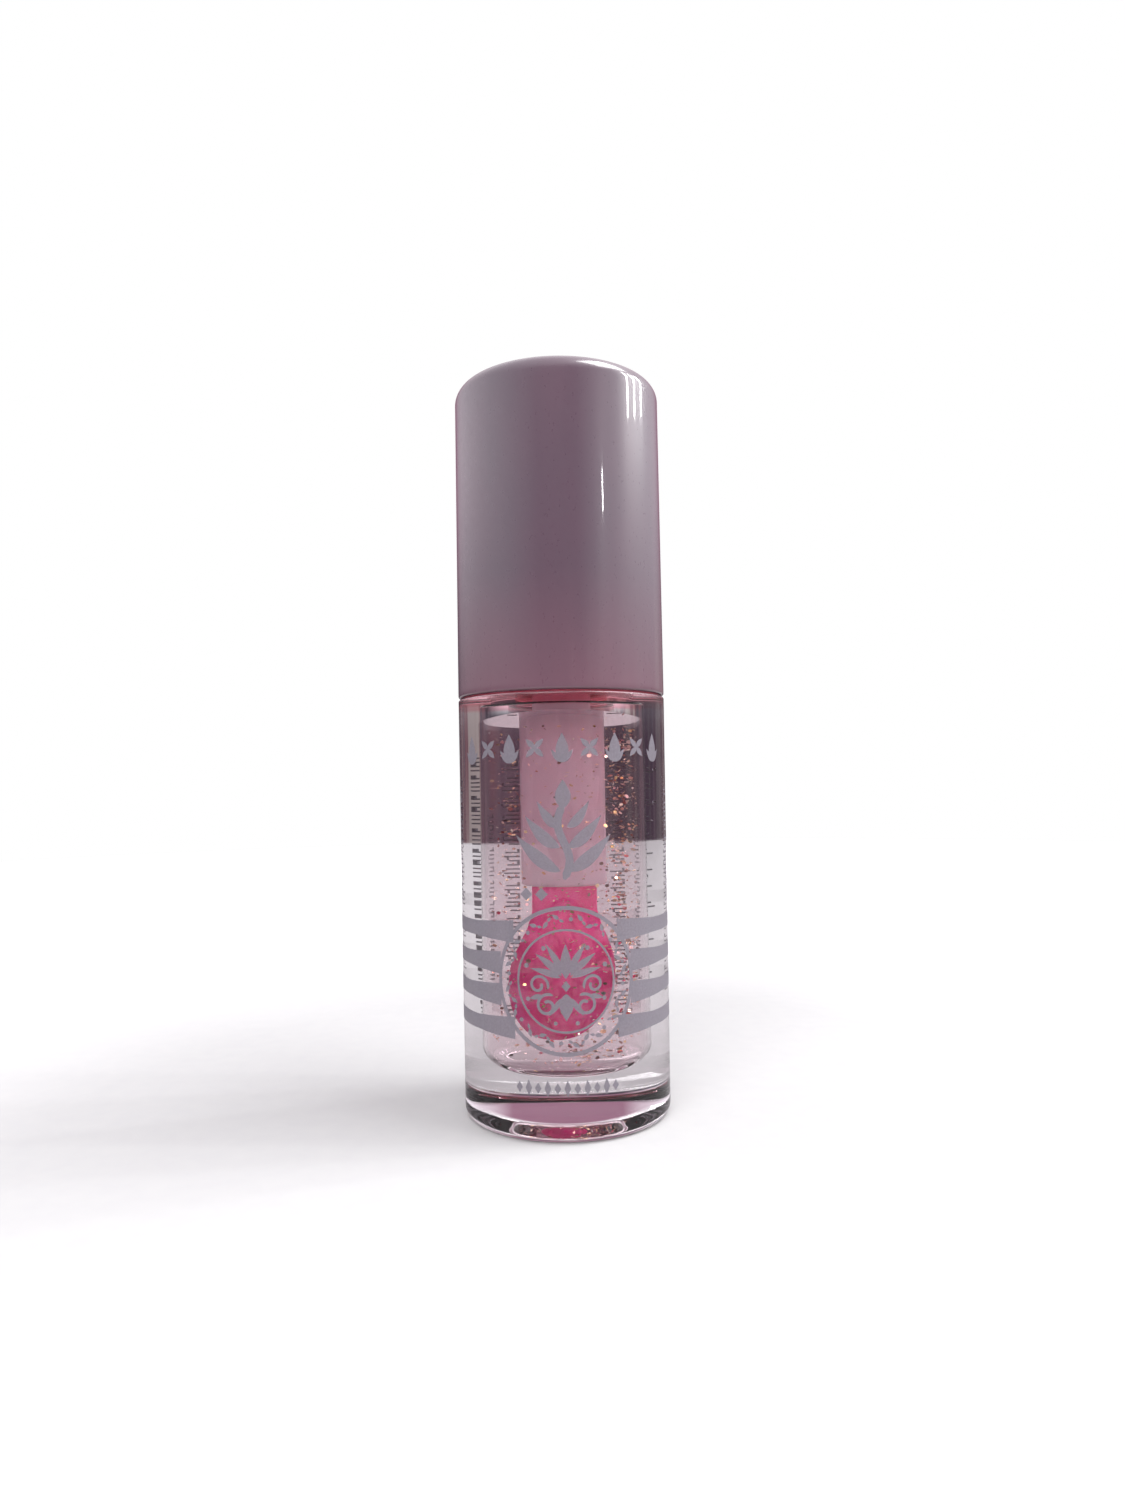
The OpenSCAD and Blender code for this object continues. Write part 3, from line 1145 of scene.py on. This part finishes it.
class Sheet:
    """A flat drawing of ink, later wrapped round the bottle. Across is arc length, up is height."""

    def __init__(self, radius: float) -> None:
        """Starts an empty drawing for a bottle of this radius."""
        self.radius = radius
        self.mesh = bmesh.new()

    def fill(self, outline: list[Point]) -> None:
        """Adds one filled shape from its outline."""
        verts = [self.mesh.verts.new((u, 0.0, v)) for u, v in outline]
        self.mesh.faces.new(verts)

    def band(self, start: float, end: float, v: float, near: float, far: float) -> None:
        """Adds a strip across whose width changes from one end to the other.

        Args:
            start: Place of its near end.
            end: Place of its far end.
            v: Height of its middle.
            near: Width at the near end.
            far: Width at the far end.
        """
        self.fill([(start, v - near / 2), (end, v - far / 2), (end, v + far / 2), (start, v + near / 2)])

    def bar(self, low: Point, high: Point) -> None:
        """Adds a filled rectangle between two corners."""
        self.fill([low, (high[0], low[1]), high, (low[0], high[1])])

    def lozenge(self, centre: Point, width: float, height: float) -> None:
        """Adds a filled lozenge."""
        u, v = centre
        self.fill([(u - width / 2, v), (u, v - height / 2), (u + width / 2, v), (u, v + height / 2)])

    def dot(self, centre: Point, radius: float, steps: int = 20) -> None:
        """Adds a filled circle."""
        angles = [TURN * i / steps for i in range(steps)]
        self.fill([(centre[0] + radius * math.cos(a), centre[1] + radius * math.sin(a)) for a in angles])

    def ring(self, centre: Point, radius: float, width: float, start: float = 0.0, end: float = 360.0,
             steps: int = 96) -> None:
        """Adds a ring or part of one, as short strips that share no faces.

        Args:
            centre: Middle of the ring.
            radius: Radius of the middle of its line.
            width: Width of its line.
            start: First angle in degrees.
            end: Last angle in degrees.
            steps: Strips it is cut into.
        """
        angles = [math.radians(start + (end - start) * i / steps) for i in range(steps + 1)]
        rows = []
        for reach in (radius - width / 2, radius + width / 2):
            spots = [(centre[0] + reach * math.cos(a), 0.0, centre[1] + reach * math.sin(a)) for a in angles]
            rows.append([self.mesh.verts.new(spot) for spot in spots])
        for i in range(steps):
            self.mesh.faces.new((rows[0][i], rows[1][i], rows[1][i + 1], rows[0][i + 1]))

    def leaf(self, root: Point, length: float, width: float, degrees: float, bend: float = 0.0,
             steps: int = 12) -> None:
        """Adds a pointed leaf or petal.

        Args:
            root: Where it grows from.
            length: Its length.
            width: Its greatest width.
            degrees: Direction it points, 0 across and 90 up.
            bend: Sideways sweep of its tip.
            steps: Points along each edge.
        """
        angle = math.radians(degrees)
        along = Vector((math.cos(angle), math.sin(angle)))
        across = Vector((-math.sin(angle), math.cos(angle)))

        def edge(t: float, side: float) -> Point:
            """A point on one edge, at a share of the length."""
            reach = along * length * t
            swell = across * (side * width / 2 * math.sin(math.pi * t ** 0.8) + bend * t * t)
            return root[0] + (reach + swell).x, root[1] + (reach + swell).y

        left = [edge(i / steps, 1.0) for i in range(steps)]
        right = [edge(i / steps, -1.0) for i in range(steps, 0, -1)]
        self.fill(left + right)

    def stroke(self, points: list[Point], width: float) -> None:
        """Adds a line of even width along points.

        Args:
            points: The line's middle, from end to end.
            width: Its width.
        """
        sides: list[list[bmesh.types.BMVert]] = [[], []]
        for i, point in enumerate(points):
            before, after = points[max(0, i - 1)], points[min(len(points) - 1, i + 1)]
            way = Vector((after[0] - before[0], after[1] - before[1])).normalized()
            taper = 1.0 if 0 < i < len(points) - 1 else 0.35
            off = Vector((-way.y, way.x)) * width / 2 * taper
            for row, sign in zip(sides, (1, -1)):
                row.append(self.mesh.verts.new((point[0] + sign * off.x, 0.0, point[1] + sign * off.y)))
        for i in range(len(points) - 1):
            self.mesh.faces.new((sides[0][i], sides[1][i], sides[1][i + 1], sides[0][i + 1]))

    def scroll(self, centre: Point, radius: float, start: float, turns: float, width: float) -> None:
        """Adds a line that curls into a spiral.

        Args:
            centre: Middle of the spiral.
            radius: Radius at its outer end.
            start: Angle of its outer end in degrees.
            turns: Turns it makes inwards, anticlockwise where positive.
            width: Width of its line.
        """
        steps = max(10, round(26 * abs(turns)))
        points = []
        for i in range(steps + 1):
            angle = math.radians(start) + TURN * turns * i / steps
            reach = radius * (1 - 0.72 * i / steps)
            points.append((centre[0] + reach * math.cos(angle), centre[1] + reach * math.sin(angle)))
        self.stroke(points, width)

    def wrap(self, name: str, sink: float = 0.004, thickness: float = 0.022) -> bpy.types.Object:
        """Cuts the drawing finely, wraps it round the bottle and gives the ink its thickness.

        Args:
            name: The piece's name.
            sink: How far the ink's back is bedded in the wall.
            thickness: Thickness of the ink.

        Returns:
            The object.
        """
        step = 0.45
        reach = max(abs(vert.co.x) for vert in self.mesh.verts)
        for i in range(-int(reach / step), int(reach / step) + 1):
            geometry = self.mesh.verts[:] + self.mesh.edges[:] + self.mesh.faces[:]
            bmesh.ops.bisect_plane(self.mesh, geom=geometry, dist=1e-4, plane_co=(i * step, 0, 0),
                                   plane_no=(1, 0, 0))
        bmesh.ops.recalc_face_normals(self.mesh, faces=self.mesh.faces)
        for face in self.mesh.faces:
            if face.normal.y > 0:
                face.normal_flip()
        skin = self.mesh.faces[:]
        grown = bmesh.ops.extrude_face_region(self.mesh, geom=skin, use_keep_orig=True)["geom"]
        front = {part for part in grown if isinstance(part, bmesh.types.BMVert)}
        for vert in self.mesh.verts:
            across = vert.co.x / self.radius
            radius = self.radius - sink + (thickness if vert in front else 0.0)
            vert.co = Vector((radius * math.sin(across), -radius * math.cos(across), vert.co.z))
        bmesh.ops.recalc_face_normals(self.mesh, faces=self.mesh.faces)
        return finish_piece(self.mesh, name, Body.BOTTLE, PrintInk(), (), 30.0)


@dataclass
class Print:
    """Plain ornament on the bottle: bands, a ringed palmette, a sprig, garlands and columns of ticks."""

    radius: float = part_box("bottle")[1][0] / MM
    medal_z: float = 14.45
    medal_r: float = 6.45
    inner_r: float = 4.5
    squeeze: float = 0.97
    band_pitch: float = 2.86
    band_near: float = 2.0
    band_far: float = 1.35
    garland_z: float = 35.0
    sprig_z: float = 23.4
    tick_pitch: float = 0.42
    tick_line: float = 0.15

    def build(self) -> None:
        """Builds each part of the print."""
        self.build_bands()
        self.build_medal()
        self.build_garland()
        self.build_sprig()
        self.build_columns()

    def build_bands(self) -> None:
        """Four bands on each side, from the medal's ring round to the back, wider towards the medal."""
        sheet = Sheet(self.radius)
        end = math.radians(112) * self.radius
        for row in range(4):
            rise = (row - 1.5) * self.band_pitch
            start = math.sqrt(self.medal_r ** 2 - rise ** 2) * self.squeeze + 0.1
            flare = start + 4.5
            for side in (-1, 1):
                sheet.band(side * start, side * flare, self.medal_z + rise, self.band_near, self.band_far)
                sheet.band(side * flare, side * end, self.medal_z + rise, self.band_far, self.band_far)
        sheet.wrap("print_bands")

    def build_medal(self) -> None:
        """Two rings with a wreath of small leaves between them, round a palmette."""
        sheet = Sheet(self.radius)
        centre = (0.0, self.medal_z)
        sheet.ring(centre, self.medal_r, 0.36)
        sheet.ring(centre, self.inner_r, 0.2)
        middle = (self.medal_r + self.inner_r) / 2
        count = 32
        for i in range(count):
            degrees = 360 * (i + 0.5) / count
            angle = math.radians(degrees)
            spot = (middle * math.cos(angle), self.medal_z + middle * math.sin(angle))
            if i % 4 == 3:
                sheet.dot(spot, 0.19, 12)
            else:
                tilt = 38 if i % 2 else -38
                sheet.leaf(spot, 0.78, 0.36, degrees + 90 + tilt)
                sheet.leaf(spot, 0.5, 0.26, degrees + 270 + tilt)
        self.draw_palmette(sheet)
        for vert in sheet.mesh.verts:
            vert.co.x *= self.squeeze
        sheet.wrap("print_medal")

    def draw_palmette(self, sheet: Sheet) -> None:
        """Draws a fan of leaves over curled stalks and a drop, alike on left and right."""
        z = self.medal_z
        sheet.leaf((0.0, z + 0.2), 3.1, 1.0, 90)
        sheet.leaf((0.0, z - 1.1), 2.4, 1.3, 270)
        sheet.lozenge((0.0, z - 0.45), 0.8, 1.0)
        for side in (-1, 1):
            for lean, length, width in ((24, 3.2, 0.62), (44, 3.1, 0.66), (66, 2.9, 0.6)):
                turned = math.radians(90 - side * lean)
                root = (0.5 * math.cos(turned), z + 0.1 + 0.5 * math.sin(turned))
                sheet.leaf(root, length, width, 90 - side * lean, -side * 0.4)
            sheet.scroll((side * 2.55, z - 0.35), 0.95, 200 if side > 0 else -20, side * -1.15, 0.26)
            sheet.scroll((side * 1.75, z - 2.15), 1.05, 120 if side > 0 else 60, side * -1.2, 0.28)
            sheet.leaf((side * 0.5, z - 1.5), 1.9, 0.5, 270 + side * 26, side * 0.3)
            sheet.leaf((side * 2.2, z - 1.25), 1.3, 0.45, -90 + side * 75)
            sheet.dot((side * 2.0, z + 2.9), 0.22, 14)
            sheet.dot((side * 3.65, z + 1.35), 0.22, 14)
            sheet.dot((side * 3.55, z - 1.6), 0.2, 14)
            sheet.dot((side * 1.0, z - 3.7), 0.18, 14)

    def build_garland(self) -> None:
        """A row of small buds and crosses under the shoulder, and a row of lozenges near the base."""
        sheet = Sheet(self.radius)
        for i in range(-4, 5):
            u = 2.45 * i
            if i % 2:
                for degrees in (45, 135, 225, 315):
                    sheet.leaf((u, self.garland_z), 1.15, 0.5, degrees)
            else:
                sheet.leaf((u, self.garland_z - 1.3), 2.6, 1.15, 90)
                for side in (-1, 1):
                    sheet.leaf((u, self.garland_z - 1.3), 1.5, 0.5, 90 - side * 48, side * 0.2)
        for i in range(-5, 6):
            sheet.lozenge((0.88 * i, 5.0), 0.6, 1.0 if i % 2 else 1.5)
        sheet.wrap("print_garland")

    def build_sprig(self) -> None:
        """A sprig with paired leaves and a bud, over two small lozenges."""
        sheet = Sheet(self.radius)
        root = self.sprig_z
        spine = [(0.5 * math.sin(i / 16 * TURN), root + 6.6 * i / 16) for i in range(17)]
        sheet.stroke(spine, 0.7)
        for level, length, width in ((0.7, 5.0, 1.25), (2.8, 4.0, 1.15), (4.6, 2.8, 0.95)):
            for side in (-1, 1):
                sheet.leaf((side * 0.3, root + level), length, width, 90 - side * 66, side * 1.3)
        sheet.leaf((0.0, root + 6.2), 2.6, 1.4, 90)
        for u in (-3.45, -2.05):
            sheet.lozenge((u, 22.1), 1.15, 1.15)
        sheet.wrap("print_sprig")

    def draw_ticks(self, sheet: Sheet, u: float, low: float, high: float, width: float,
                   phase: float) -> None:
        """Draws one upright column of fine ticks in groups.

        Args:
            sheet: The drawing.
            u: Place of the column's middle.
            low: Lowest tick.
            high: Highest tick.
            width: Width of the column.
            phase: Shifts where the groups break.
        """
        start, line, pitch = u - width / 2, self.tick_line, self.tick_pitch
        for i in range(int((high - low) / pitch)):
            beat = (i * 0.381966 + phase) % 1
            if beat < 0.16:
                continue
            v = low + pitch * i
            reach = width * (0.55 + 0.45 * ((i * 0.754878 + phase) % 1))
            sheet.bar((start, v), (start + reach, v + line))
            if beat > 0.55:
                side = start + (reach if beat > 0.8 else 0.0)
                sheet.bar((side, v + line), (side + line, v + pitch))

    def build_columns(self) -> None:
        """Columns of fine ticks on the back and one up each side."""
        sheet = Sheet(self.radius)
        back = math.pi * self.radius
        for column, (low, high) in enumerate(((11, 30), (8, 35), (10, 33), (10, 33), (8, 35), (12, 30))):
            self.draw_ticks(sheet, back + (column - 2.5) * 1.9, low, high, 1.0, column * 0.37)
        for side in (-1, 1):
            self.draw_ticks(sheet, side * 13.3, 20.5, 31.5, 1.1, 0.2 + side * 0.1)
        sheet.wrap("print_ticks")


# --------------------------------------------------------------------------------------------------
# Studio


@dataclass
class Studio:
    """White paper, soft light from above and both sides, a key from the right, and the camera."""

    paper_r: float = 0.42
    lens: float = 23.42
    distance: float = 0.0957
    eye_z: float = 0.03205
    shift: float = 31 / 1500
    roll: float = -1.0
    mauve_wall: Colour = (0.34, 0.16, 0.24)
    side_box: Colour = (1.7, 1.66, 1.76)
    overhead: Colour = (1.2, 1.17, 1.21)
    backdrop: Colour = (1.0, 1.0, 1.0)

    def build(self) -> None:
        """Builds paper, light, surroundings and camera."""
        self.build_paper()
        self.build_world()
        self.build_lights()
        self.build_camera()

    def build_paper(self) -> None:
        """A round sheet of paper that the tube stands on."""
        mesh = bmesh.new()
        bmesh.ops.create_circle(mesh, cap_ends=True, segments=96, radius=self.paper_r)
        data = bpy.data.meshes.new("paper")
        mesh.to_mesh(data)
        mesh.free()
        paper = bpy.data.objects.new("paper", data)
        bpy.context.collection.objects.link(paper)
        data.materials.append(StudioPaper().material())

    def build_world(self) -> None:
        """Bright overhead and sides and a dim room beyond the paper, in front of a white backdrop."""
        world = bpy.data.worlds.new("studio")
        bpy.context.scene.world = world
        world.use_nodes = True
        graph = Graph(world.node_tree)
        way = graph.node("ShaderNodeTexCoord", output="Generated")
        height = graph.node("ShaderNodeSeparateXYZ", None, {0: way}, "Z")
        across = graph.node("ShaderNodeSeparateXYZ", None, {0: way}, "X")
        side = graph.node("ShaderNodeMath", {"operation": "ABSOLUTE"}, {0: across})
        dim = self.dim_room(graph, way, across)
        mauve = graph.mix(graph.rise(height, 0.12, 0.28), dim, self.mauve_wall)
        boxes = graph.rise(side, 0.35, 0.95) * graph.rise(height, 0.04, 0.32)
        sides = graph.mix(boxes, mauve, self.side_box)
        sky = graph.mix(graph.rise(height, 0.4, 0.8), sides, self.overhead)
        seen = graph.node("ShaderNodeLightPath", output="Is Camera Ray")
        final = graph.mix(seen, sky, self.backdrop)
        light = graph.node("ShaderNodeBackground", None, {"Color": final, "Strength": 1.0}, "Background")
        graph.raw("ShaderNodeOutputWorld", None, {"Surface": light})

    @staticmethod
    def dim_room(graph: Graph, way: Signal, across: Signal) -> Signal:
        """Draws the dim room that shows through the bottle's walls.

        Args:
            graph: The world's tree.
            way: Direction looked in.
            across: How far that direction points to the right.

        Returns:
            The room's colour.
        """
        inputs = {0: way, 1: (1.0, 1.0, 0.3)}
        stretched = graph.node("ShaderNodeVectorMath", {"operation": "MULTIPLY"}, inputs)
        room = graph.noise(stretched, 5.0)
        stops = [(0.0, srgb(60, 49, 62)), (0.4, srgb(94, 80, 92)), (0.7, srgb(120, 84, 92)),
                 (1.0, srgb(160, 147, 146))]
        return graph.ramp(graph.rise(room + across * 0.2, 0.36, 0.66), stops)

    def add_panel(self, name: str, azimuth: float, elevation: float, distance: float, size: Point,
                  power: float, glossy: bool = True) -> None:
        """Adds a soft panel of light that faces the tube.

        Args:
            name: The light's name.
            azimuth: Degrees round to the right from the camera's side.
            elevation: Degrees above the floor.
            distance: Distance from the tube in metres.
            size: Width and height in metres.
            power: Power in watts.
            glossy: Whether it is seen in reflections.
        """
        lamp = bpy.data.lights.new(name, "AREA")
        lamp.shape = "RECTANGLE"
        lamp.size, lamp.size_y = size
        lamp.energy = power
        turn, lift = math.radians(azimuth), math.radians(elevation)
        way = Vector((math.sin(turn) * math.cos(lift), -math.cos(turn) * math.cos(lift), math.sin(lift)))
        panel = bpy.data.objects.new(name, lamp)
        bpy.context.collection.objects.link(panel)
        panel.location = Vector((0, 0, 0.035)) + way * distance
        panel.rotation_euler = way.to_track_quat("Z", "Y").to_euler()
        panel.visible_camera = False
        panel.visible_glossy = glossy

    def build_lights(self) -> None:
        """A soft key from the right, a front fill, three narrow window strips and a small glint."""
        self.add_panel("key_panel", 80, 60, 0.55, (0.32, 0.24), 3.0)
        for i, azimuth in enumerate((86, 97, 109)):
            self.add_panel(f"window_strip_{i}", azimuth, 31, 0.7, (0.022, 0.2), 0.9)
        self.add_panel("glint", 50, 18.7, 0.7, (0.012, 0.03), 0.12)
        self.add_panel("front_fill", -15, 38, 0.5, (0.36, 0.28), 2.8, glossy=False)

    def build_camera(self) -> None:
        """The camera, level with the gloss and close to the tube."""
        data = bpy.data.cameras.new("camera")
        data.lens = self.lens
        data.sensor_width = 36.0
        data.shift_y = self.shift
        data.clip_start, data.clip_end = 0.005, 10.0
        camera = bpy.data.objects.new("camera", data)
        bpy.context.collection.objects.link(camera)
        camera.location = (0.0, -self.distance, self.eye_z)
        level = Matrix.Rotation(math.radians(90), 4, "X")
        camera.rotation_euler = (level @ Matrix.Rotation(math.radians(self.roll), 4, "Z")).to_euler()
        scene = bpy.context.scene
        scene.camera = camera
        scene.view_settings.view_transform = "Standard"


def main() -> None:
    """Builds the tube and the studio in order."""
    logging.basicConfig(level=logging.INFO, format="%(name)s: %(message)s")
    Studio().build()
    BottleSide().build()
    CapSide().build()
    ApplicatorHead().build()
    Print().build()


if __name__ == "__main__":
    main()
